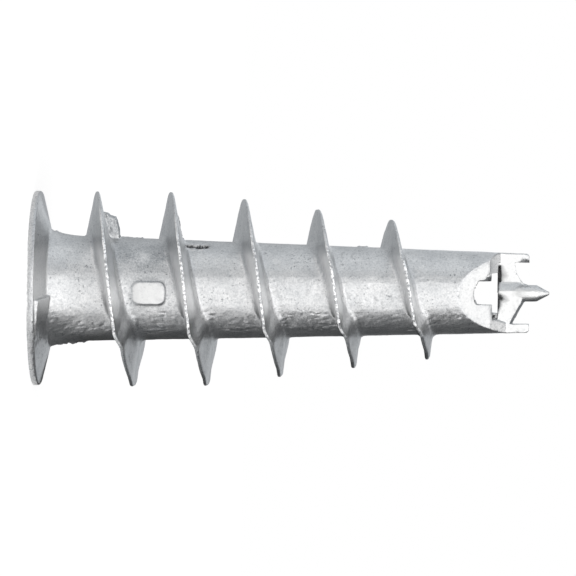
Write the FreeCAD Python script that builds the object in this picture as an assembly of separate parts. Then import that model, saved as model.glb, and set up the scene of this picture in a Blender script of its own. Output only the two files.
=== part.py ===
import FreeCAD, Part
import math
import os

# Hollow wall anchor, die cast in zinc as one piece.
# It stands on the front face of its head, with the drill point up.
# The Z axis is the anchor's own axis and z = 0 is the front face of the head.
# The two halves of the die meet on the plane Y = 0 and open along Y.
# All sizes are millimetres.

V = FreeCAD.Vector

# Overall sizes
overall_length = 37.1
head_diameter = 14.0
thread_diameter = 14.0

# Head: a thin disc whose underside rises towards the neck
rim_thickness = 0.48
underside_rise_deg = 14.0
rim_edge_radius = 0.14
neck_fillet_radius = 0.22

# Hollow body: a slim cone that flares into the head
body_diameter_at_neck = 7.58
body_diameter_at_end = 5.7
neck_height = 3.55
neck_flare_radius = 8.0
prong_end_from_point = 1.46
prong_corner_radius = 0.24

# Anti-rotation teeth on the underside of the head, one for each die half
tooth_count = 2
tooth_height = 0.28
tooth_angle_deg = 30.0
tooth_step_deg = -87.0
tooth_inner_radius = 4.1
tooth_outer_radius = 6.72
tooth_root_depth = 0.18
tooth_end_sink = 0.018
tooth_steps = 4

# Thread: right hand, one start, with a crest that tapers towards the point
thread_pitch = 5.3
thread_first_crest_height = 4.55
thread_taper_start_height = 11.69
thread_taper_deg = 7.4
thread_flat_shift_plus_x = 0.33
thread_flat_shift_minus_x_per_turn = 0.03
thread_flat_blend_deg = 30.0
thread_flat_half_deg = 56.0
thread_flat_end_deg = 66.0
crest_half_width = 0.085
crest_shoulder = 0.13
crest_shoulder_width = 0.05
root_fillet = 0.3
root_overlap = 0.3
root_sink = 0.12
root_spread = 0.03

# Slope of the thread's flanks, on the near and far sides and where a turn crosses the parting plane
head_flank_deg = 7.3
head_flank_plus_x_deg = 9.5
head_flank_minus_x_deg = 9.5
head_flank_minus_x_deg_per_turn = -1.0
tip_flank_deg = 7.0
tip_flank_plus_x_deg = 6.2
tip_flank_minus_x_deg = 10.0

# Ends of the thread, and how finely its helical faces are divided
thread_start_deg = -200.0
thread_run_in_deg = 190.0
thread_end_from_point = 6.93
thread_run_out_deg = 130.0
thread_step_deg = 7.5
thread_steps_per_face = 12

# Cross-shaped passage for the driver and the screw, tapering towards the point
wing_radius_at_face = 3.0
wing_radius_at_end = 2.22
slot_width_at_face = 2.1
slot_width_at_end = 1.66
bore_diameter_at_face = 4.2
bore_diameter_at_end = 2.8
passage_end_from_point = 4.12
passage_clocking_deg = -4.5
mouth_diameter = 6.8
mouth_depth = 0.4

# Slanted cut on each side that opens the body behind the drill point
cut_start_from_point = 6.96
cut_start_depth = 3.19
cut_break_from_point = 4.32
cut_break_depth = 1.58
cut_long_end_from_point = 3.06
cut_short_end_from_point = 3.71
cut_short_end_depth = 0.3
cut_short_foot_from_point = 3.51

# Flat blades and prongs left between the two cuts
blade_thickness = 0.5
prong_inner_half_width = 2.2

# Window through the body between the end of the passage and the blades
window_start_from_point = 4.14
window_wide_half = 1.88
window_narrow_half = 1.47
window_flare_from_point = 3.85
prong_inner_start_from_point = 2.98

# Ragged opening of the passage into the window, as (distance behind the drill point, radius)
opening_edge = ((5.05, 0.78), (4.97, 0.92), (4.56, 1.12), (4.53, 1.36), (4.23, 1.48), (4.0, 1.48))

# Blades that carry the drill pin: the +X edge is straight and leans outwards, the -X edge is hollow.
# Edge points are (radius, distance behind the drill point).
straight_edge = ((0.0, 1.69), (0.59, 1.76), (2.2, 2.63))
hollow_edge = ((0.0, 1.38), (0.56, 1.43), (0.74, 1.89), (1.1, 2.16), (1.5, 2.36), (2.2, 2.49))
blade_back_from_point = 3.46
blade_back_relief = 0.29
blade_edge_relief = 0.27

# Hub and drill pin on the axis
hub_half_width = 0.78
hub_ridge_offset = 0.2
hub_start_from_point = 3.67
hub_end_from_point = 2.06
pin_root_diameter = 0.9
pin_diameter = 1.18
pin_start_from_point = 2.9
pin_full_from_point = 2.0
point_length = 0.92
pin_tip_diameter = 0.2

# Rounded rectangular pad between the first two turns
pad_centre_height = 8.44
pad_length = 2.38
pad_width = 1.64
pad_corner_radius = 0.5
pad_stand_off = 0.05
pad_root_depth = 0.4

# Broken-off gate of the casting, on the parting plane beside the first turn
gate_thickness = 1.3
gate_outline = ((4.64, 3.2), (4.99, 5.55), (5.31, 5.42), (5.45, 5.28), (5.83, 5.18),
                (5.99, 4.94), (6.11, 4.4), (6.21, 3.3))

head_radius = head_diameter / 2
end_radius = body_diameter_at_end / 2
pin_radius = pin_diameter / 2
clear_of_part = head_diameter


def from_point(distance):
    """Height of something that lies a distance behind the drill point."""
    return overall_length - distance


prong_end_height = from_point(prong_end_from_point)
passage_end_height = from_point(passage_end_from_point)
body_slope = (body_diameter_at_neck - body_diameter_at_end) / 2 / (prong_end_height - neck_height)


def cone_radius(z):
    """Radius of the body's cone, without the flare at the head."""
    return end_radius + (prong_end_height - z) * body_slope


def body_radius(z):
    """Outer radius of the body, with the flare at the head."""
    below_neck = max(0.0, neck_height - z)
    flare = neck_flare_radius - math.sqrt(neck_flare_radius ** 2 - below_neck ** 2)
    return cone_radius(z) + flare


def underside_height(radius):
    """Height of the head's underside at a radius."""
    return rim_thickness + (head_radius - radius) * math.tan(math.radians(underside_rise_deg))


def neck_root_height():
    """Height where the underside of the head meets the flared body."""
    z = rim_thickness
    for _ in range(40):
        z = underside_height(body_radius(z))
    return z


def polygon_face(points):
    return Part.Face(Part.makePolygon(list(points) + [points[0]]))


def turned(shape, angle_deg):
    """Copy of a shape turned about the anchor's axis."""
    copy = shape.copy()
    copy.rotate(V(0, 0, 0), V(0, 0, 1), angle_deg)
    return copy


def circular_edges(solid, z, radius):
    """Full circular edges of a turned solid at a height and radius."""
    found = []
    for edge in solid.Edges:
        curve = edge.Curve
        if not isinstance(curve, Part.Circle):
            continue
        if abs(curve.Radius - radius) < 1e-4 and abs(curve.Center.z - z) < 1e-4:
            found.append(edge)
    return found


def head_and_body():
    """Disc head and tapered body as one turned solid, not yet hollow."""
    root_z = neck_root_height()
    root_r = body_radius(root_z)
    middle_z = (root_z + neck_height) / 2
    face_centre = V(0, 0, 0)
    face_edge = V(head_radius, 0, 0)
    rim_top = V(head_radius, 0, rim_thickness)
    root = V(root_r, 0, root_z)
    neck = V(body_radius(neck_height), 0, neck_height)
    end_edge = V(end_radius, 0, prong_end_height)
    end_centre = V(0, 0, prong_end_height)
    edges = [
        Part.makeLine(face_centre, face_edge),
        Part.makeLine(face_edge, rim_top),
        Part.makeLine(rim_top, root),
        Part.Arc(root, V(body_radius(middle_z), 0, middle_z), neck).toShape(),
        Part.makeLine(neck, end_edge),
        Part.makeLine(end_edge, end_centre),
        Part.makeLine(end_centre, face_centre),
    ]
    solid = Part.Face(Part.Wire(edges)).revolve(V(0, 0, 0), V(0, 0, 1), 360)
    solid = solid.makeFillet(rim_edge_radius, circular_edges(solid, 0, head_radius))
    solid = solid.makeFillet(rim_edge_radius, circular_edges(solid, rim_thickness, head_radius))
    solid = solid.makeFillet(neck_fillet_radius, circular_edges(solid, root_z, root_r))
    return solid.makeFillet(prong_corner_radius, circular_edges(solid, prong_end_height, end_radius))


def smooth_step(t):
    t = min(1.0, max(0.0, t))
    return t * t * (3 - 2 * t)


def thread_flat(beside_deg, shift):
    """Height that keeps the crest nearly flat where a turn crosses the parting plane."""
    beside = (beside_deg + 180) % 360 - 180
    blend = smooth_step(abs(beside) / thread_flat_blend_deg)
    stop = (abs(beside) - thread_flat_half_deg) / (thread_flat_end_deg - thread_flat_half_deg)
    return -math.copysign(shift * blend * (1 - smooth_step(stop)), beside)


def thread_crest_height(angle_deg):
    """Height of the crest at an angle counted on from the parting plane at -X."""
    turns = angle_deg / 360
    shift_minus_x = thread_flat_shift_minus_x_per_turn * max(0.0, turns)
    flats = thread_flat(angle_deg - 180, thread_flat_shift_plus_x) + thread_flat(angle_deg, shift_minus_x)
    return thread_first_crest_height + thread_pitch * turns + flats


def thread_end_deg():
    """Angle at which the thread has run out."""
    end_height = overall_length - thread_end_from_point
    return (end_height - thread_first_crest_height) / thread_pitch * 360


def flank_slopes(angle_deg):
    """Slopes of the flanks on the head's side and on the point's side at an angle."""
    parting = math.cos(math.radians(angle_deg))
    if parting < 0:
        head_deg = head_flank_plus_x_deg
        tip_deg = tip_flank_plus_x_deg
    else:
        head_deg = head_flank_minus_x_deg + head_flank_minus_x_deg_per_turn * max(0.0, angle_deg / 360)
        tip_deg = tip_flank_minus_x_deg
    head_deg = head_flank_deg + (head_deg - head_flank_deg) * parting ** 2
    tip_deg = tip_flank_deg + (tip_deg - tip_flank_deg) * parting ** 2
    return math.tan(math.radians(head_deg)), math.tan(math.radians(tip_deg))


def thread_section(angle_deg):
    """Outline of the thread at one angle, as (radius, height) pairs from root to root."""
    z = thread_crest_height(angle_deg)
    surface = body_radius(z)
    taper = max(0.0, z - thread_taper_start_height) * math.tan(math.radians(thread_taper_deg))
    run_in = smooth_step((angle_deg - thread_start_deg) / thread_run_in_deg)
    run_out = smooth_step((thread_end_deg() - angle_deg) / thread_run_out_deg)
    full_height = thread_diameter / 2 - taper - surface
    base = surface - root_overlap
    root = surface - root_sink
    crest = surface + full_height * run_in * run_out
    rise = crest - root
    shoulder = crest - rise * crest_shoulder / (rise + crest_shoulder)
    fillet_rise = root_fillet + surface - root
    fillet = root + (shoulder - root) * fillet_rise / (rise + fillet_rise)
    outline = []
    for side, slope in zip((-1, 1), flank_slopes(angle_deg)):
        shoulder_offset = crest_half_width + crest_shoulder_width
        fillet_offset = shoulder_offset + (shoulder - fillet) * slope
        root_offset = fillet_offset + (fillet - root)
        half = [
            (base, z + side * (root_offset + root_spread)),
            (root, z + side * root_offset),
            (fillet, z + side * fillet_offset),
            (shoulder, z + side * shoulder_offset),
            (crest, z + side * crest_half_width),
        ]
        outline.append(half)
    return outline[0] + outline[1][::-1]


def ruled_faces(curve_a, curve_b, breaks):
    """Faces of straight lines between two curves that share their parameters."""
    faces = []
    for start, end in zip(breaks, breaks[1:]):
        surface = Part.BSplineSurface()
        surface.buildFromPolesMultsKnots(
            [curve_a.getPoles(), curve_b.getPoles()],
            [2, 2], curve_a.getMultiplicities(),
            [0.0, 1.0], curve_a.getKnots(),
            False, False, 1, curve_a.Degree)
        surface.segment(0.0, 1.0, start, end)
        faces.append(surface.toShape())
    return faces


def thread():
    """One-start thread as a closed band of ruled faces between helical curves."""
    reach = thread_end_deg() - thread_start_deg
    steps = int(round(reach / thread_step_deg))
    angles = [thread_start_deg + reach * i / steps for i in range(steps + 1)]
    tracks = None
    for angle in angles:
        # angle 0 is the parting plane on the -X side and 90 degrees is the -Y side
        direction = math.radians(angle + 180)
        section = [V(r * math.cos(direction), r * math.sin(direction), z)
                   for r, z in thread_section(angle)]
        tracks = tracks or [[] for _ in section]
        for track, point in zip(tracks, section):
            track.append(point)
    curves = []
    for track in tracks:
        curve = Part.BSplineCurve()
        curve.interpolate(Points=track, Parameters=angles)
        curves.append(curve)
    breaks = angles[::thread_steps_per_face]
    if breaks[-1] != angles[-1]:
        breaks.append(angles[-1])
    faces = []
    for i, curve in enumerate(curves):
        faces += ruled_faces(curve, curves[(i + 1) % len(curves)], breaks)
    for end in (0, -1):
        faces.append(polygon_face([track[end] for track in tracks]))
    shell = Part.Shell(faces)
    shell.sewShape()
    solid = Part.Solid(shell)
    if solid.Volume < 0:
        solid.reverse()
    return solid


def cross_section(z, wing_radius, half_slot, bore_radius):
    """Outline of the cross: four round-ended arms that run out of a round bore."""
    bore_reach = math.sqrt(bore_radius ** 2 - half_slot ** 2)
    wing_reach = math.sqrt(wing_radius ** 2 - half_slot ** 2)
    diagonal = bore_radius / math.sqrt(2)
    edges = []
    for quarter in range(4):
        def place(x, y):
            turn = math.radians(90 * quarter)
            return V(x * math.cos(turn) - y * math.sin(turn), x * math.sin(turn) + y * math.cos(turn), z)

        tip_start = place(wing_reach, -half_slot)
        tip_end = place(wing_reach, half_slot)
        bore_start = place(bore_reach, half_slot)
        bore_end = place(half_slot, bore_reach)
        next_tip = place(half_slot, wing_reach)
        edges.append(Part.Arc(tip_start, place(wing_radius, 0), tip_end).toShape())
        edges.append(Part.makeLine(tip_end, bore_start))
        edges.append(Part.Arc(bore_start, place(diagonal, diagonal), bore_end).toShape())
        edges.append(Part.makeLine(bore_end, next_tip))
    return Part.Wire(edges)


def passage():
    """Cross-shaped, tapering passage with a shallow conical mouth."""
    def at(z, at_face, at_end):
        return at_face + (at_end - at_face) * z / passage_end_height

    sections = []
    for z in (-1.0, passage_end_height):
        wing = at(z, wing_radius_at_face, wing_radius_at_end)
        slot = at(z, slot_width_at_face, slot_width_at_end) / 2
        bore = at(z, bore_diameter_at_face, bore_diameter_at_end) / 2
        sections.append(cross_section(z, wing, slot, bore))
    cross = Part.makeLoft(sections, True, True)
    mouth = Part.makeCone(mouth_diameter / 2, wing_radius_at_face - mouth_depth, mouth_depth)
    return turned(cross.fuse(mouth), passage_clocking_deg)


def side_cut(profile, toward_plus_x):
    """Cut on the -Y side: a (height, depth) profile run along X from the axis outwards."""
    points = [V(0, -depth, z) for z, depth in profile]
    points += [V(0, -clear_of_part, profile[-1][0]), V(0, -clear_of_part, profile[0][0])]
    reach = clear_of_part if toward_plus_x else -clear_of_part
    return polygon_face(points).extrude(V(reach, 0, 0))


def die_cuts():
    """Material that both die halves keep free around the drill point."""
    top = from_point(-1.0)
    long_cut = side_cut([
        (from_point(cut_start_from_point), cut_start_depth),
        (from_point(cut_break_from_point), cut_break_depth),
        (from_point(cut_long_end_from_point), blade_thickness),
        (top, blade_thickness),
    ], True)
    short_end = from_point(cut_short_end_from_point)
    short_cut = side_cut([
        (from_point(cut_start_from_point), cut_start_depth),
        (from_point(cut_break_from_point), cut_break_depth),
        (short_end, cut_short_end_depth),
        (from_point(cut_short_foot_from_point), 0),
        (top, 0),
    ], False)
    window_start = from_point(window_start_from_point)
    window = [
        (-window_narrow_half, window_start),
        (window_wide_half, window_start),
        (window_wide_half, from_point(window_flare_from_point)),
        (prong_inner_half_width, from_point(prong_inner_start_from_point)),
        (prong_inner_half_width, top),
        (-prong_inner_half_width, top),
        (-prong_inner_half_width, short_end),
        (-window_narrow_half, short_end),
    ]
    window_cut = polygon_face([V(x, 0, z) for x, z in window]).extrude(V(0, -clear_of_part, 0))
    near_side = [long_cut, short_cut, window_cut, ragged_opening()]
    return near_side + [turned(cut, 180) for cut in near_side]


def ragged_opening():
    """Small cut on the -X, -Y side that widens the passage towards the window."""
    edge = [V(-radius, 0, from_point(distance)) for distance, radius in opening_edge]
    corners = [V(0, 0, edge[-1].z), V(0, 0, edge[0].z)]
    return polygon_face(edge + corners).extrude(V(0, -clear_of_part, 0))


def blade(edge):
    """Blade on the +X, -Y side, from the hub to its prong, with relief behind its cutting edge."""
    overlap = 0.25
    end_lean = (edge[-1][1] - edge[-2][1]) / (edge[-1][0] - edge[-2][0])
    outer = prong_inner_half_width + overlap
    outline = edge + ((outer, edge[-1][1] + overlap * end_lean),)
    sections = []
    for y, back_relief, edge_relief in ((0, 0, 0), (-blade_thickness, blade_back_relief, blade_edge_relief)):
        back = from_point(blade_back_from_point) - back_relief
        corners = [V(radius, y, from_point(distance) - edge_relief) for radius, distance in outline]
        corners += [V(outer, y, back), V(0, y, back)]
        sections.append(Part.makePolygon(corners + [corners[0]]))
    return Part.makeLoft(sections, True, True)


def hub():
    """Six-sided core between the blades, bevelled on the two sides without a blade."""
    t = blade_thickness
    start = from_point(hub_start_from_point)
    corners = [
        V(-hub_half_width, 0, start),
        V(-hub_ridge_offset, -t, start),
        V(hub_half_width, -t, start),
        V(hub_half_width, 0, start),
        V(hub_ridge_offset, t, start),
        V(-hub_half_width, t, start),
    ]
    return polygon_face(corners).extrude(V(0, 0, hub_start_from_point - hub_end_from_point))


def drill_pin():
    """Round pin with a conical point; it swells out of the hub to its full diameter."""
    start = from_point(pin_start_from_point)
    full = from_point(pin_full_from_point)
    shoulder = from_point(point_length)
    root = Part.makeCone(pin_root_diameter / 2, pin_radius, full - start, V(0, 0, start))
    shank = Part.makeCylinder(pin_radius, shoulder - full, V(0, 0, full))
    point = Part.makeCone(pin_radius, pin_tip_diameter / 2, point_length, V(0, 0, shoulder))
    return root.fuse([shank, point])


def anti_rotation_tooth():
    """Ramp on the underside of the head, with its step near the -Y side."""
    sections = []
    for i in range(tooth_steps + 1):
        share = i / tooth_steps
        angle = math.radians(tooth_step_deg + share * tooth_angle_deg)
        rise = tooth_height * (1 - share) - tooth_end_sink * share
        corners = []
        for radius, lift in ((tooth_inner_radius, -tooth_root_depth), (tooth_outer_radius, -tooth_root_depth),
                             (tooth_outer_radius, rise), (tooth_inner_radius, rise)):
            z = underside_height(radius) + lift
            corners.append(V(radius * math.cos(angle), radius * math.sin(angle), z))
        sections.append(Part.makePolygon(corners + [corners[0]]))
    return Part.makeLoft(sections, True, True)


def pad():
    """Flat raised pad on the -Y side, between the first two turns."""
    face_y = -(body_radius(pad_centre_height) + pad_stand_off)
    inner_y = face_y + pad_root_depth
    block = Part.makeBox(pad_width, pad_root_depth, pad_length,
                         V(-pad_width / 2, inner_y - pad_root_depth, pad_centre_height - pad_length / 2))
    corner_edges = [e for e in block.Edges if abs(e.tangentAt(e.FirstParameter).y) > 0.99]
    return block.makeFillet(pad_corner_radius, corner_edges)


def gate_stub():
    """Rough stub of the gate, standing on the parting plane at the -X side."""
    face = polygon_face([V(-x, -gate_thickness / 2, z) for z, x in gate_outline])
    return face.extrude(V(0, gate_thickness, 0))


def anchor_body():
    solid = head_and_body()
    teeth = [turned(anti_rotation_tooth(), i * 360 / tooth_count) for i in range(tooth_count)]
    solid = solid.fuse([thread(), pad(), gate_stub()] + teeth)
    solid = solid.cut(passage())
    solid = solid.cut(die_cuts())
    blades = [blade(straight_edge), turned(blade(hollow_edge), 180)]
    solid = solid.fuse(blades + [hub(), drill_pin()])
    return solid.removeSplitter()


os.makedirs("parts", exist_ok=True)
body = anchor_body()
print("solids", len(body.Solids), "valid", body.isValid(), "volume", round(body.Volume, 2))
body.exportStep("parts/anchor_body.step")
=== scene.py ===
import math

import bpy
import numpy as np
from mathutils import Matrix, Vector


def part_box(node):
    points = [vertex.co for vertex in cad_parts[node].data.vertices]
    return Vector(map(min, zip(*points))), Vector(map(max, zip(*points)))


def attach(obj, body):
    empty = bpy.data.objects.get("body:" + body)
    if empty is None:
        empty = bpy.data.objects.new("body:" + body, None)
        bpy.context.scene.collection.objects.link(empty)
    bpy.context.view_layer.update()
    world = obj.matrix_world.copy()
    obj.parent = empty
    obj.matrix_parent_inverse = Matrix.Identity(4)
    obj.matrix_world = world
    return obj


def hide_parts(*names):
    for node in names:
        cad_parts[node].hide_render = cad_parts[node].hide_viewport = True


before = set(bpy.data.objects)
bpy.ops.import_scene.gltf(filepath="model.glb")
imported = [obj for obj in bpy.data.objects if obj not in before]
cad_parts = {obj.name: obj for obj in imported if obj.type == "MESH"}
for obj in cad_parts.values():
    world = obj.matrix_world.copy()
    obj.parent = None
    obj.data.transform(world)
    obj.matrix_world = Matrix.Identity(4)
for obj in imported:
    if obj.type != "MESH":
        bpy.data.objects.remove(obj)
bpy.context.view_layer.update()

# The casting is worked on in millimetres and put back into metres at the end
MM = 0.001
NODE = "anchor_body"
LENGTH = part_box(NODE)[1].z / MM

# Sizes of the casting that its surface detail follows, in millimetres
BODY_RADIUS_AT_NECK = 3.79
BODY_RADIUS_AT_END = 2.85
NECK_HEIGHT = 3.55
PRONG_END_HEIGHT = LENGTH - 1.46
CUT_START_HEIGHT = LENGTH - 6.96
PAD_CENTRE_HEIGHT = 8.44
PAD_LENGTH = 2.38
PAD_WIDTH = 1.64
PAD_CORNER = 0.5
PAD_BACK_Y = -3
PAD_OFF_SIDE = 5.0
WRINKLED_ANGLE_DEG = 131

# Layers of the casting's skin, as (height, size of the lumps, seed)
SKIN_WAVES = ((0.012, 1.9, 1), (0.008, 0.7, 2), (0.006, 0.24, 3))
CREST_GRAINS = ((0.035, 0.26, 4), (0.04, 0.15, 5))
RIM_GRAINS = ((0.008, 0.26, 14), (0.012, 0.14, 15))
WRINKLE_DEPTH = 0.02
GRAIN_HEIGHT = 0.014
PIT_DEPTH = 0.05
FLASH_HEIGHT = 0.16
TORN_DEPTH = 0.32

# Flaws of the casting, as (start, end, radius): raised flash, a torn nick, pits, dull stains
# and the grey strip on the lower blade
FLASH_LINES = (
    ((-3.82, 0, 6.25), (-3.72, 0, 7.75), 0.14),
    ((-4.16, 0, 1.3), (-4.06, 0, 1.85), 0.12),
    ((-3.2, 0, 23.35), (-3.18, 0, 23.85), 0.16),
    ((-5.4, -0.15, 10.33), (-3.8, -0.7, 10.75), 0.2),
    ((3.9, -0.6, 1.9), (3.75, -0.3, 3.6), 0.2),
    ((-3.04, -1.84, 11.1), (-2.98, -1.8, 12.2), 0.1),
)
TORN_LINE = ((-3.2, -1.5, 11.2), (-3.16, -1.45, 12.3), 0.34)
# Reach of the near-black painted shade inside the torn nick
NICK_SHADE_RADIUS = 0.42
PITTED_LINE = ((1.1, -3.48, 7.8), (1.95, -3.02, 10.2), 0.8)
STAIN_LINES = (
    ((-2.6, -2.7, 7.0), (-2.4, -2.7, 9.9), 1.4),
    ((2.7, -2.5, 6.9), (2.6, -2.5, 9.4), 0.9),
)
STRIP_LINE = ((0.5, -0.4, 35.2), (2.18, -0.4, 34.3), 0.18)

# How finely the casting is remade, and how many triangles it keeps
VOXEL = 0.055
ROOT_SMOOTHING = 120
TRIANGLES = 195000

# Colours of the zinc, and of the painted light, glints and shade laid on it
PATCH_COLOURS = ((0.6, 0.605, 0.61, 1), (0.7, 0.7, 0.7, 1))
# Dull grey of the stains, gate, rim and lower crest, also used as painted shade in a dark outline
# round the flat pad
DULL_AND_SHADE_COLOUR = (0.3, 0.315, 0.33, 1)
SPECK_COLOUR = (0.16, 0.17, 0.18, 1)
# Near-white painted light on the near sides of the thread and head
PAINTED_LIGHT_COLOUR = (0.97, 0.97, 0.97, 1)
CLEAN_COLOUR = (0.735, 0.735, 0.73, 1)
# Dark grey beads and near-white painted glints along the crest
GLINT_BEAD_COLOURS = ((0.42, 0.43, 0.44, 1), (0.97, 0.97, 0.97, 1))
# Near-black painted shade inside the torn nick
NICK_SHADE_COLOUR = (0.035, 0.037, 0.04, 1)

# The photograph: its scale where the anchor's axis is, and where its camera stands
IMAGE_SIZE = 576
MM_PER_PIXEL = 0.072
CAMERA_DISTANCE_PIXELS = 4214
SENSOR_WIDTH = 36
TARGET_HEIGHT = 18.23
CAMERA_ELEVATION = math.radians(4.5)
CAMERA_YAW = math.radians(1.31)
CAMERA_ROLL = math.radians(0.514)
IMAGE_OFFSET_PIXELS = (-1.0, 2.65)

# Studio, in metres: light of the world, the floor with its share of plain white, and the key light
WORLD_LIGHT = 0.5
FLOOR_REACH = 0.45
FLOOR_COLOUR = (0.9, 0.9, 0.9, 1)
FLOOR_SHARE = 0.5
FLOOR_WHITE = 1.5
KEY_PLACE = (0.1, -0.45, 0.7)
KEY_WIDTH = 0.83
KEY_HEIGHT = 1.4
KEY_BRIGHTNESS = 0.77

# Edges of the grey cards that the metal reflects, as (radius, height)
FOOT = (0.3, 0.001)
KNEE = (0.3, 0.03)
SHOULDER = (0.3, 0.2)
HEAD = (0.3, 0.6)
CROWN = (0.1, 0.5)
CENTRE = (0.0, 0.001)

# The cards, as (name, start in degrees, end in degrees, inner edge, outer edge, brightness)
CARDS = (
    ("gap_card", 35, 54, FOOT, HEAD, 0.5),
    ("upper_card", 54, 112, FOOT, HEAD, 0.98),
    ("upper_back_card", 112, 148, FOOT, HEAD, 0.8),
    ("back_card", 148, 180, FOOT, KNEE, 0.5),
    ("low_back_card", 180, 205, FOOT, KNEE, 0.14),
    ("far_card", 148, 186, KNEE, SHOULDER, 0.95),
    ("low_far_card", 186, 205, KNEE, SHOULDER, 0.7),
    ("crown_card", 130, 230, SHOULDER, CROWN, 0.3),
    ("lower_card", 205, 311, FOOT, HEAD, 0.11),
    ("upper_floor_card", 90, 186, CENTRE, FOOT, 0.56),
    ("lower_floor_card", 186, 270, CENTRE, FOOT, 0.03),
)
CARD_STEP_DEG = 8
CARD_TINT = (0.96, 1.0, 1.035)


def new_object(name, data):
    obj = bpy.data.objects.new(name, data)
    bpy.context.scene.collection.objects.link(obj)
    return obj


# Repeatable noise

def lattice(ix, iy, iz, seed):
    """Repeatable random number from 0 to 1 for each lattice point."""
    h = (ix * 73856093) ^ (iy * 19349663) ^ (iz * 83492791) ^ (seed * 2654435761)
    h = (h ^ (h >> 13)) * 1274126177
    h = h ^ (h >> 16)
    return (h & 0xFFFFF) / float(0xFFFFF)


def noise(points, size, seed):
    """Smooth noise from -1 to 1 whose lumps are about the given size."""
    p = points / size
    cell = np.floor(p).astype(np.int64)
    t = p - cell
    t = t * t * (3 - 2 * t)
    total = 0.0
    for dx in (0, 1):
        wx = t[:, 0] if dx else 1 - t[:, 0]
        for dy in (0, 1):
            wy = t[:, 1] if dy else 1 - t[:, 1]
            for dz in (0, 1):
                wz = t[:, 2] if dz else 1 - t[:, 2]
                value = lattice(cell[:, 0] + dx, cell[:, 1] + dy, cell[:, 2] + dz, seed)
                total = total + wx * wy * wz * value
    return total * 2 - 1


def grains(points, layers):
    """Sum of the given layers of noise."""
    return sum(height * noise(points, size, seed) for height, size, seed in layers)


def fade(value, low, high):
    """Smooth step from 0 at low to 1 at high."""
    t = np.clip((value - low) / (high - low), 0, 1)
    return t * t * (3 - 2 * t)


# Where a point of the casting is

def body_radius(z):
    """Outer radius of the hollow body at a height."""
    share = (z - NECK_HEIGHT) / (PRONG_END_HEIGHT - NECK_HEIGHT)
    return BODY_RADIUS_AT_NECK + (BODY_RADIUS_AT_END - BODY_RADIUS_AT_NECK) * share


def from_axis(p):
    return np.hypot(p[:, 0], p[:, 1])


def rise_above_body(p):
    """Distance outside the hollow body's surface, negative inside it."""
    return from_axis(p) - body_radius(p[:, 2])


def fin(p):
    """1 on the thread's outer part, 0 on the body, the head and inside."""
    return fade(rise_above_body(p), 0.25, 0.6) * fade(p[:, 2], 2.6, 3.2)


def read_points(mesh):
    """Places and normals of the mesh's points."""
    places = np.empty(len(mesh.vertices) * 3, np.float32)
    normals = np.empty(len(mesh.vertices) * 3, np.float32)
    mesh.vertices.foreach_get("co", places)
    mesh.vertex_normals.foreach_get("vector", normals)
    return tuple(values.reshape(-1, 3).astype(np.float64) for values in (places, normals))


def write_points(mesh, p):
    mesh.vertices.foreach_set("co", p.astype(np.float32).ravel())
    mesh.update()


# Shape of the casting

def apply_modifiers(obj):
    graph = bpy.context.evaluated_depsgraph_get()
    mesh = bpy.data.meshes.new_from_object(obj.evaluated_get(graph))
    obj.modifiers.clear()
    obj.data = mesh


def remade(node):
    """Evenly meshed copy of a CAD node, in millimetres."""
    mesh = node.data.copy()
    mesh.transform(Matrix.Scale(1 / MM, 4))
    obj = new_object("zinc_casting", mesh)
    remesh = obj.modifiers.new("remesh", "REMESH")
    remesh.mode = "VOXEL"
    remesh.voxel_size = VOXEL
    apply_modifiers(obj)
    return obj


def turn_angle(p):
    """Degrees around the axis: 0 at -X, 90 on the near or far side, 180 at +X."""
    return np.degrees(np.arctan2(np.abs(p[:, 1]), -p[:, 0]))


def crest_mask(p, n):
    """1 on the narrow top of the thread, whose surface faces straight outwards."""
    outwards = (n[:, 0] * p[:, 0] + n[:, 1] * p[:, 1]) / np.maximum(from_axis(p), 0.01)
    return fin(p) * fade(outwards, 0.35, 0.7)


def open_crest(p):
    """1 where the crest stands open and torn, 0 where it closes at the lower parting line."""
    angle = turn_angle(p)
    return fade(angle, 42, 64) * (1 - fade(angle, 108, 122))


def wrinkled(p):
    """1 along the two sides of the body that filled last, where the skin is wrinkled."""
    beside = np.abs(turn_angle(p) - WRINKLED_ANGLE_DEG) + 9 * noise(p, 2.5, 21)
    return 1 - fade(beside, 9, 26)


def near_line(p, start, end, radius):
    """1 on the line between two points, falling to 0 about two radii away."""
    start, end = np.array(start), np.array(end)
    along = end - start
    share = np.clip((p - start) @ along / (along @ along), 0, 1)
    gap = np.linalg.norm(p - start - share[:, None] * along, axis=1)
    return np.exp(-(gap / radius) ** 2)


def gate_mask(p):
    """1 on the broken-off gate beside the first turn."""
    inside = fade(p[:, 2], 4.7, 5.1) * (1 - fade(p[:, 2], 6.3, 6.5))
    return inside * fade(-p[:, 0], 3.85, 4.1) * (1 - fade(np.abs(p[:, 1]), 0.85, 1.0))


def pad_distance(p):
    """Distance outside the edge of the flat pad, negative inside it; large off its near side."""
    along = np.abs(p[:, 2] - PAD_CENTRE_HEIGHT) - PAD_LENGTH / 2 + PAD_CORNER
    across = np.abs(p[:, 0]) - PAD_WIDTH / 2 + PAD_CORNER
    outside = np.hypot(np.maximum(along, 0), np.maximum(across, 0))
    inside = np.minimum(np.maximum(along, across), 0)
    off_side = PAD_OFF_SIDE * (p[:, 1] > PAD_BACK_Y)
    return outside + inside - PAD_CORNER + off_side


def clean_mask(p, n):
    """1 on the smooth cut faces at the point and on the flat pad."""
    point = fade(p[:, 2], CUT_START_HEIGHT, CUT_START_HEIGHT + 0.8)
    point *= 1 - fade(rise_above_body(p), -0.14, -0.06)
    point *= fade(np.abs(n[:, 1]), 0.7, 0.92)
    return np.maximum(point, 1 - fade(pad_distance(p), -0.14, -0.04))


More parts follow.
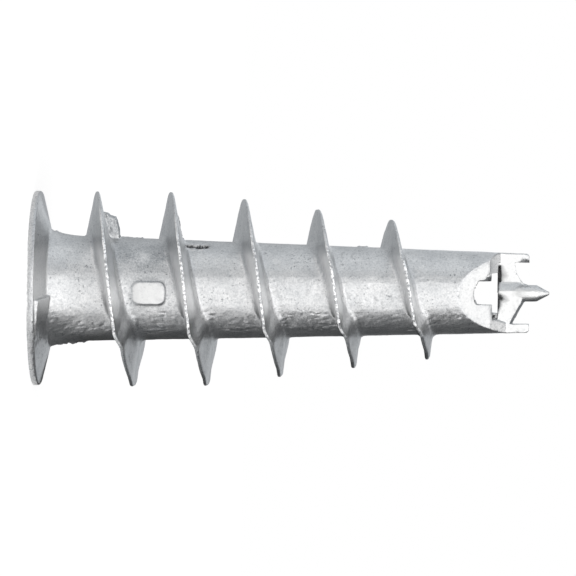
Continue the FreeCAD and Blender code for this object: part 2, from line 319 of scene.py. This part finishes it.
def painted_light_mask(p, n):
    """Painted light: 1 on the sides of the thread and of the head where they rise from the body's
    near side, which are coloured near-white in place of light that falls short there.
    """
    near = fade(rise_above_body(p), 0.0, 0.4) * fade(-p[:, 1], 1.0, 2.4)
    near *= fade(p[:, 0], -3.8, -2.6) * (1 - fade(p[:, 0], 0.4, 2.4))
    facing_point = np.where(p[:, 2] > 2, 0.6, 0.45)
    return near * fade(np.abs(n[:, 2]), 0.3, 0.7) * np.where(n[:, 2] < 0, 1.0, facing_point)


def soften_roots(obj):
    """Widens the fillets at the thread's root: on its head side, and on both sides near +X."""
    mesh = obj.data
    p, n = read_points(mesh)
    rise = rise_above_body(p)
    root = fade(rise, -0.2, 0.0) * (1 - fade(rise, 0.9, 1.6))
    root *= fade(p[:, 2], 2.9, 3.4) * (1 - fade(p[:, 2], CUT_START_HEIGHT - 0.4, CUT_START_HEIGHT))
    facing_head = fade(-n[:, 2], -0.05, 0.3) * fade(p[:, 0], -3.4, -2.2)
    facing_point = fade(n[:, 2], -0.05, 0.2) * fade(p[:, 0], 0.4, 1.4)
    root *= np.maximum(facing_head, facing_point)
    chosen = root > 0.01
    edges = np.empty(len(mesh.edges) * 2, np.int32)
    mesh.edges.foreach_get("vertices", edges)
    edges = edges.reshape(-1, 2)
    edges = edges[chosen[edges].any(axis=1)]
    a = np.concatenate([edges[:, 0], edges[:, 1]])
    b = np.concatenate([edges[:, 1], edges[:, 0]])
    used, a = np.unique(a, return_inverse=True)
    b = np.searchsorted(used, b)
    count = np.bincount(a, minlength=len(used))
    near = p[used]
    weight = root[used][:, None] * 0.5
    for _ in range(ROOT_SMOOTHING):
        mean = np.stack([np.bincount(a, near[b, i], len(used)) for i in range(3)], axis=1)
        near += weight * (mean / count[:, None] - near)
    p[used] = near
    write_points(mesh, p)


def roughen(obj):
    """Casting skin: waves, wrinkles, pits, flash, a torn nick and grains along the crest."""
    mesh = obj.data
    p, n = read_points(mesh)
    body = 1 - fade(p[:, 2], CUT_START_HEIGHT, CUT_START_HEIGHT + 1)
    skin = 1 - 0.85 * clean_mask(p, n)
    lift = skin * grains(p, SKIN_WAVES)

    sides = wrinkled(p) * body * (1 - fin(p))
    folds = 1 - fade(np.abs(noise(p * (1, 1, 0.42), 0.26, 7)), 0.0, 0.3)
    lift -= WRINKLE_DEPTH * folds * sides * fade(noise(p, 1.3, 31), -0.5, 0.4)
    lift += GRAIN_HEIGHT * noise(p * (1, 1, 0.7), 0.15, 10) * (0.25 + 0.75 * sides) * skin

    pits = fade(noise(p, 0.24, 8), 0.5, 0.75) * fade(noise(p, 1.6, 9), -0.1, 0.4)
    pits *= 0.35 + 0.65 * near_line(p, *PITTED_LINE)
    lift -= PIT_DEPTH * pits * body * skin

    lift += crest_mask(p, n) * (0.35 + 0.65 * open_crest(p)) * grains(p, CREST_GRAINS)
    rim = fade(from_axis(p), 6.75, 6.9) * (1 - fade(p[:, 2], 0.5, 0.62))
    lift += rim * grains(p, RIM_GRAINS)
    lift += gate_mask(p) * (0.05 * noise(p * (0.5, 1, 1), 0.22, 16) + 0.03 * noise(p, 0.14, 17))

    ragged = 0.55 + 0.6 * noise(p, 0.2, 11) + 0.35 * noise(p, 0.12, 12)
    for line in FLASH_LINES:
        lift += FLASH_HEIGHT * near_line(p, *line) * ragged
    torn = near_line(p, *TORN_LINE) * (0.75 + 0.7 * noise(p, 0.22, 13))
    lift -= TORN_DEPTH * fade(torn, 0.25, 0.6)

    p += n * lift[:, None]
    low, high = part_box(NODE)
    np.clip(p, np.array(low) / MM, np.array(high) / MM, out=p)
    write_points(mesh, p)


def thin_out(obj):
    """Leaves about as many triangles as TRIANGLES says."""
    count = sum(len(f.vertices) - 2 for f in obj.data.polygons)
    decimate = obj.modifiers.new("decimate", "DECIMATE")
    decimate.ratio = min(1.0, TRIANGLES / count)
    apply_modifiers(obj)


def paint_mask(mesh, name, values):
    layer = mesh.attributes.new(name, "FLOAT", "POINT")
    layer.data.foreach_set("value", values.astype(np.float32))


def paint_masks(obj):
    """Marks the places where the material changes."""
    mesh = obj.data
    p, n = read_points(mesh)
    crest = crest_mask(p, n)
    dull_and_shade = 0.4 * gate_mask(p) + 0.2 * fade(from_axis(p), 6.8, 6.9) * (1 - fade(p[:, 2], 0.4, 0.6))
    dull_and_shade += 0.7 * crest * fade(turn_angle(p), 112, 126)
    # Painted shade: a dark outline round the flat pad stands in for the shade of its shallow edge
    dull_and_shade += 0.5 * np.exp(-(pad_distance(p) / 0.07) ** 2)
    dull_and_shade += 0.9 * near_line(p, *STRIP_LINE)
    for line in STAIN_LINES:
        dull_and_shade += 0.55 * near_line(p, *line) * fade(noise(p, 0.9, 41), -0.9, 0.4)
    # Painted shade: the inside of the torn nick, below the body's surface, is marked to be
    # coloured near-black
    start, end, _ = TORN_LINE
    torn = fade(near_line(p, start, end, NICK_SHADE_RADIUS), 0.25, 0.5)
    torn *= fade(-rise_above_body(p), 0.04, 0.14)
    paint_mask(mesh, "crest", crest * open_crest(p))
    paint_mask(mesh, "wrinkled", wrinkled(p) * (1 - fin(p)))
    paint_mask(mesh, "clean", clean_mask(p, n))
    paint_mask(mesh, "dull_and_shade", np.clip(dull_and_shade, 0, 1))
    # Painted light on the near sides of the thread and head
    paint_mask(mesh, "painted_light", painted_light_mask(p, n))
    paint_mask(mesh, "torn", torn)


# Material

class Nodes:
    """Short way to add and join the nodes of one material or world."""

    def __init__(self, tree):
        self.tree = tree

    def add(self, kind, **settings):
        node = self.tree.nodes.new("ShaderNode" + kind)
        for name, value in settings.items():
            setattr(node, name, value)
        return node

    def join(self, source, target):
        self.tree.links.new(source, target)

    def noise(self, size, detail, vector):
        """Noise texture whose lumps are about the given size in millimetres."""
        node = self.add("TexNoise")
        node.inputs["Scale"].default_value = 1 / (size * MM)
        node.inputs["Detail"].default_value = detail
        self.join(vector, node.inputs["Vector"])
        return node.outputs["Fac"]

    def mask(self, name):
        return self.add("Attribute", attribute_name=name).outputs["Fac"]

    def add_up(self, a, b):
        return self.math("ADD", a, b)

    def times(self, a, b):
        return self.math("MULTIPLY", a, b)

    def math(self, operation, a, b):
        node = self.add("Math", operation=operation)
        for value, socket in ((a, node.inputs[0]), (b, node.inputs[1])):
            if isinstance(value, (int, float)):
                socket.default_value = value
            else:
                self.join(value, socket)
        return node.outputs[0]

    def stretch(self, value, low, high, to_low=0.0, to_high=1.0):
        node = self.add("MapRange")
        node.inputs["From Min"].default_value = low
        node.inputs["From Max"].default_value = high
        node.inputs["To Min"].default_value = to_low
        node.inputs["To Max"].default_value = to_high
        self.join(value, node.inputs["Value"])
        return node.outputs["Result"]

    def mix_colour(self, share, a, b):
        """Mix of two colours; a Mix node has its colours on inputs 6 and 7 and output 2."""
        node = self.add("Mix", data_type="RGBA")
        self.join(share, node.inputs["Factor"])
        for value, socket in ((a, node.inputs[6]), (b, node.inputs[7])):
            if isinstance(value, tuple):
                socket.default_value = value
            else:
                self.join(value, socket)
        return node.outputs[2]


def zinc():
    """Bare as-cast zinc: pale metal with duller patches, dark specks and a fine grainy skin, with
    painted light on the near sides, painted glints along the crest, and painted shade in the torn
    nick and round the pad.
    """
    material = bpy.data.materials.new("zinc_casting")
    material.use_nodes = True
    nodes = Nodes(material.node_tree)
    shader = material.node_tree.nodes["Principled BSDF"]
    shader.inputs["Metallic"].default_value = 1.0
    place = nodes.add("TexCoord").outputs["Object"]

    patches = nodes.stretch(nodes.noise(1.4, 4, place), 0.35, 0.65)
    colour = nodes.mix_colour(patches, *PATCH_COLOURS)

    streaks = nodes.add("Mapping")
    streaks.inputs["Scale"].default_value = (1, 1, 0.16)
    nodes.join(place, streaks.inputs["Vector"])
    streak = nodes.stretch(nodes.noise(0.16, 3, streaks.outputs[0]), 0.52, 0.72)
    mottle = nodes.stretch(nodes.noise(0.2, 3, place), 0.5, 0.72)
    dark = nodes.add_up(nodes.times(streak, 0.16), nodes.times(mottle, 0.3))
    dark = nodes.times(dark, nodes.stretch(nodes.mask("wrinkled"), 0.0, 1.0, 0.45, 1.0))
    grain = nodes.noise(0.11, 2, place)
    dark = nodes.add_up(dark, nodes.stretch(grain, 0.4, 0.66, 0.0, 0.34))
    # Dull patches, together with the painted shade round the flat pad
    dull_and_shade = nodes.mask("dull_and_shade")
    dark = nodes.add_up(dark, nodes.times(dull_and_shade, nodes.stretch(grain, 0.3, 0.7, 0.7, 1.2)))
    colour = nodes.mix_colour(dark, colour, DULL_AND_SHADE_COLOUR)

    specks = nodes.stretch(nodes.noise(0.17, 2, place), 0.62, 0.69)
    sparse = nodes.stretch(nodes.noise(1.0, 2, place), 0.42, 0.6, 0.15, 1.0)
    specks = nodes.times(nodes.times(specks, sparse), 0.75)
    colour = nodes.mix_colour(specks, colour, SPECK_COLOUR)

    # Painted light: the near sides of the thread and head are coloured near-white
    colour = nodes.mix_colour(nodes.mask("painted_light"), colour, PAINTED_LIGHT_COLOUR)
    clean = nodes.mask("clean")
    colour = nodes.mix_colour(nodes.times(clean, 0.7), colour, CLEAN_COLOUR)
    # Painted glints: near-white beads on the open crest stand in for glints on its real grains,
    # set among darker grey beads
    glint_beads = nodes.stretch(nodes.noise(0.19, 2, place), 0.44, 0.56)
    glint_bead_colour = nodes.mix_colour(glint_beads, *GLINT_BEAD_COLOURS)
    colour = nodes.mix_colour(nodes.times(nodes.mask("crest"), 0.9), colour, glint_bead_colour)
    # Painted shade: the inside of the torn nick is coloured near-black
    colour = nodes.mix_colour(nodes.mask("torn"), colour, NICK_SHADE_COLOUR)
    nodes.join(colour, shader.inputs["Base Color"])

    rough = nodes.stretch(mottle, 0.0, 1.0, 0.35, 0.5)
    rough = nodes.add_up(rough, nodes.times(dull_and_shade, 0.2))
    nodes.join(rough, shader.inputs["Roughness"])

    height = nodes.add_up(nodes.times(grain, 0.45), nodes.noise(0.3, 3, place))
    bump = nodes.add("Bump")
    bump.inputs["Distance"].default_value = 0.03 * MM
    nodes.join(nodes.stretch(clean, 0.0, 1.0, 0.55, 0.25), bump.inputs["Strength"])
    nodes.join(height, bump.inputs["Height"])
    nodes.join(bump.outputs["Normal"], shader.inputs["Normal"])
    return material


def casting():
    obj = remade(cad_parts[NODE])
    soften_roots(obj)
    roughen(obj)
    thin_out(obj)
    paint_masks(obj)
    obj.data.transform(Matrix.Scale(MM, 4))
    obj.data.materials.clear()
    obj.data.materials.append(zinc())
    obj.data.shade_smooth()
    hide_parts(NODE)
    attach(obj, "root")


# Camera

def view_axes():
    """Directions of the photograph's camera: towards it, to its right and up."""
    towards = Vector((-math.sin(CAMERA_ELEVATION),
                      -math.cos(CAMERA_YAW) * math.cos(CAMERA_ELEVATION),
                      math.sin(CAMERA_YAW) * math.cos(CAMERA_ELEVATION)))
    level = Vector((0, math.sin(CAMERA_YAW), math.cos(CAMERA_YAW)))
    plumb = towards.cross(level)
    right = math.cos(CAMERA_ROLL) * level + math.sin(CAMERA_ROLL) * plumb
    return towards, right, towards.cross(right)


def camera():
    towards, right, up = view_axes()
    data = bpy.data.cameras.new("camera")
    data.sensor_width = SENSOR_WIDTH
    data.lens = SENSOR_WIDTH * CAMERA_DISTANCE_PIXELS / IMAGE_SIZE
    data.clip_start = 0.01
    data.clip_end = 10
    obj = new_object("camera", data)
    pixel = MM_PER_PIXEL * MM
    place = Vector((0, 0, TARGET_HEIGHT * MM)) + towards * CAMERA_DISTANCE_PIXELS * pixel
    place += (-IMAGE_OFFSET_PIXELS[0] * right + IMAGE_OFFSET_PIXELS[1] * up) * pixel
    obj.matrix_world = Matrix((
        (right.x, up.x, towards.x, place.x),
        (right.y, up.y, towards.y, place.y),
        (right.z, up.z, towards.z, place.z),
        (0, 0, 0, 1)))
    bpy.context.scene.camera = obj


# Studio

def key_light():
    """Upright soft light facing +Y; brightness 1 looks white in a mirror."""
    data = bpy.data.lights.new("key", "AREA")
    data.shape = "RECTANGLE"
    data.size = KEY_WIDTH
    data.size_y = KEY_HEIGHT
    data.energy = KEY_BRIGHTNESS * math.pi * KEY_WIDTH * KEY_HEIGHT
    obj = new_object("key", data)
    obj.location = KEY_PLACE
    obj.rotation_euler = (math.radians(90), 0, 0)


def glow(name, colour):
    """Plain glowing material that reflections show and that the lamps' sampling leaves out."""
    material = bpy.data.materials.new(name)
    material.use_nodes = True
    material.cycles.emission_sampling = "NONE"
    tree = material.node_tree
    tree.nodes.clear()
    light = tree.nodes.new("ShaderNodeEmission")
    light.inputs["Color"].default_value = colour
    out = tree.nodes.new("ShaderNodeOutputMaterial")
    tree.links.new(light.outputs[0], out.inputs[0])
    return material


def card(name, start_deg, end_deg, inner, outer, brightness):
    """Grey card swept around the anchor between two (radius, height) points.

    0 degrees is towards the camera and 90 is -X. Only the reflections in the metal show it.
    """
    steps = max(2, int((end_deg - start_deg) / CARD_STEP_DEG))
    corners = []
    for i in range(steps + 1):
        angle = math.radians(start_deg + (end_deg - start_deg) * i / steps)
        for radius, height in (inner, outer):
            corners.append((-radius * math.sin(angle), -radius * math.cos(angle), height))
    faces = [(2 * i, 2 * i + 2, 2 * i + 3, 2 * i + 1) for i in range(steps)]
    mesh = bpy.data.meshes.new(name)
    mesh.from_pydata(corners, [], faces)
    obj = new_object(name, mesh)
    mesh.materials.append(glow(name, tuple(brightness * c for c in CARD_TINT) + (1,)))
    obj.visible_camera = False
    obj.visible_diffuse = False
    obj.visible_transmission = False
    obj.visible_shadow = False


def seen_background(nodes):
    """1 for camera, mirror and glass rays, 0 for the rays that light the anchor."""
    path = nodes.add("LightPath")
    seen = nodes.math("MAXIMUM", path.outputs["Is Camera Ray"], path.outputs["Is Glossy Ray"])
    return nodes.math("MAXIMUM", seen, path.outputs["Is Transmission Ray"])


def white_surroundings():
    """World that is seen as white and lights the anchor softly."""
    world = bpy.data.worlds.new("studio")
    bpy.context.scene.world = world
    world.use_nodes = True
    world.cycles.sampling_method = "NONE"
    nodes = Nodes(world.node_tree)
    background = world.node_tree.nodes["Background"]
    background.inputs["Color"].default_value = (1, 1, 1, 1)
    strength = nodes.stretch(seen_background(nodes), 0, 1, WORLD_LIGHT, 1.0)
    nodes.join(strength, background.inputs["Strength"])


def floor():
    """Pale floor: white as seen, with the anchor's own soft shadow kept on it."""
    mesh = bpy.data.meshes.new("floor")
    reach = FLOOR_REACH
    corners = [(-reach, -reach, 0), (reach, -reach, 0), (reach, reach, 0), (-reach, reach, 0)]
    mesh.from_pydata(corners, [], [(0, 1, 2, 3)])
    obj = new_object("floor", mesh)
    material = bpy.data.materials.new("floor")
    material.use_nodes = True
    tree = material.node_tree
    nodes = Nodes(tree)
    shader = tree.nodes["Principled BSDF"]
    shader.inputs["Base Color"].default_value = FLOOR_COLOUR
    shader.inputs["Roughness"].default_value = 0.9
    shader.inputs["Specular IOR Level"].default_value = 0.0
    light = nodes.add("Emission")
    light.inputs["Color"].default_value = (1, 1, 1, 1)
    light.inputs["Strength"].default_value = FLOOR_WHITE
    mix = nodes.add("MixShader")
    nodes.join(nodes.stretch(seen_background(nodes), 0, 1, 0, FLOOR_SHARE), mix.inputs[0])
    nodes.join(shader.outputs[0], mix.inputs[1])
    nodes.join(light.outputs[0], mix.inputs[2])
    nodes.join(mix.outputs[0], tree.nodes["Material Output"].inputs[0])
    mesh.materials.append(material)


def studio():
    white_surroundings()
    floor()
    key_light()
    for values in CARDS:
        card(*values)


casting()
camera()
studio()
bpy.context.scene.view_settings.view_transform = "Standard"
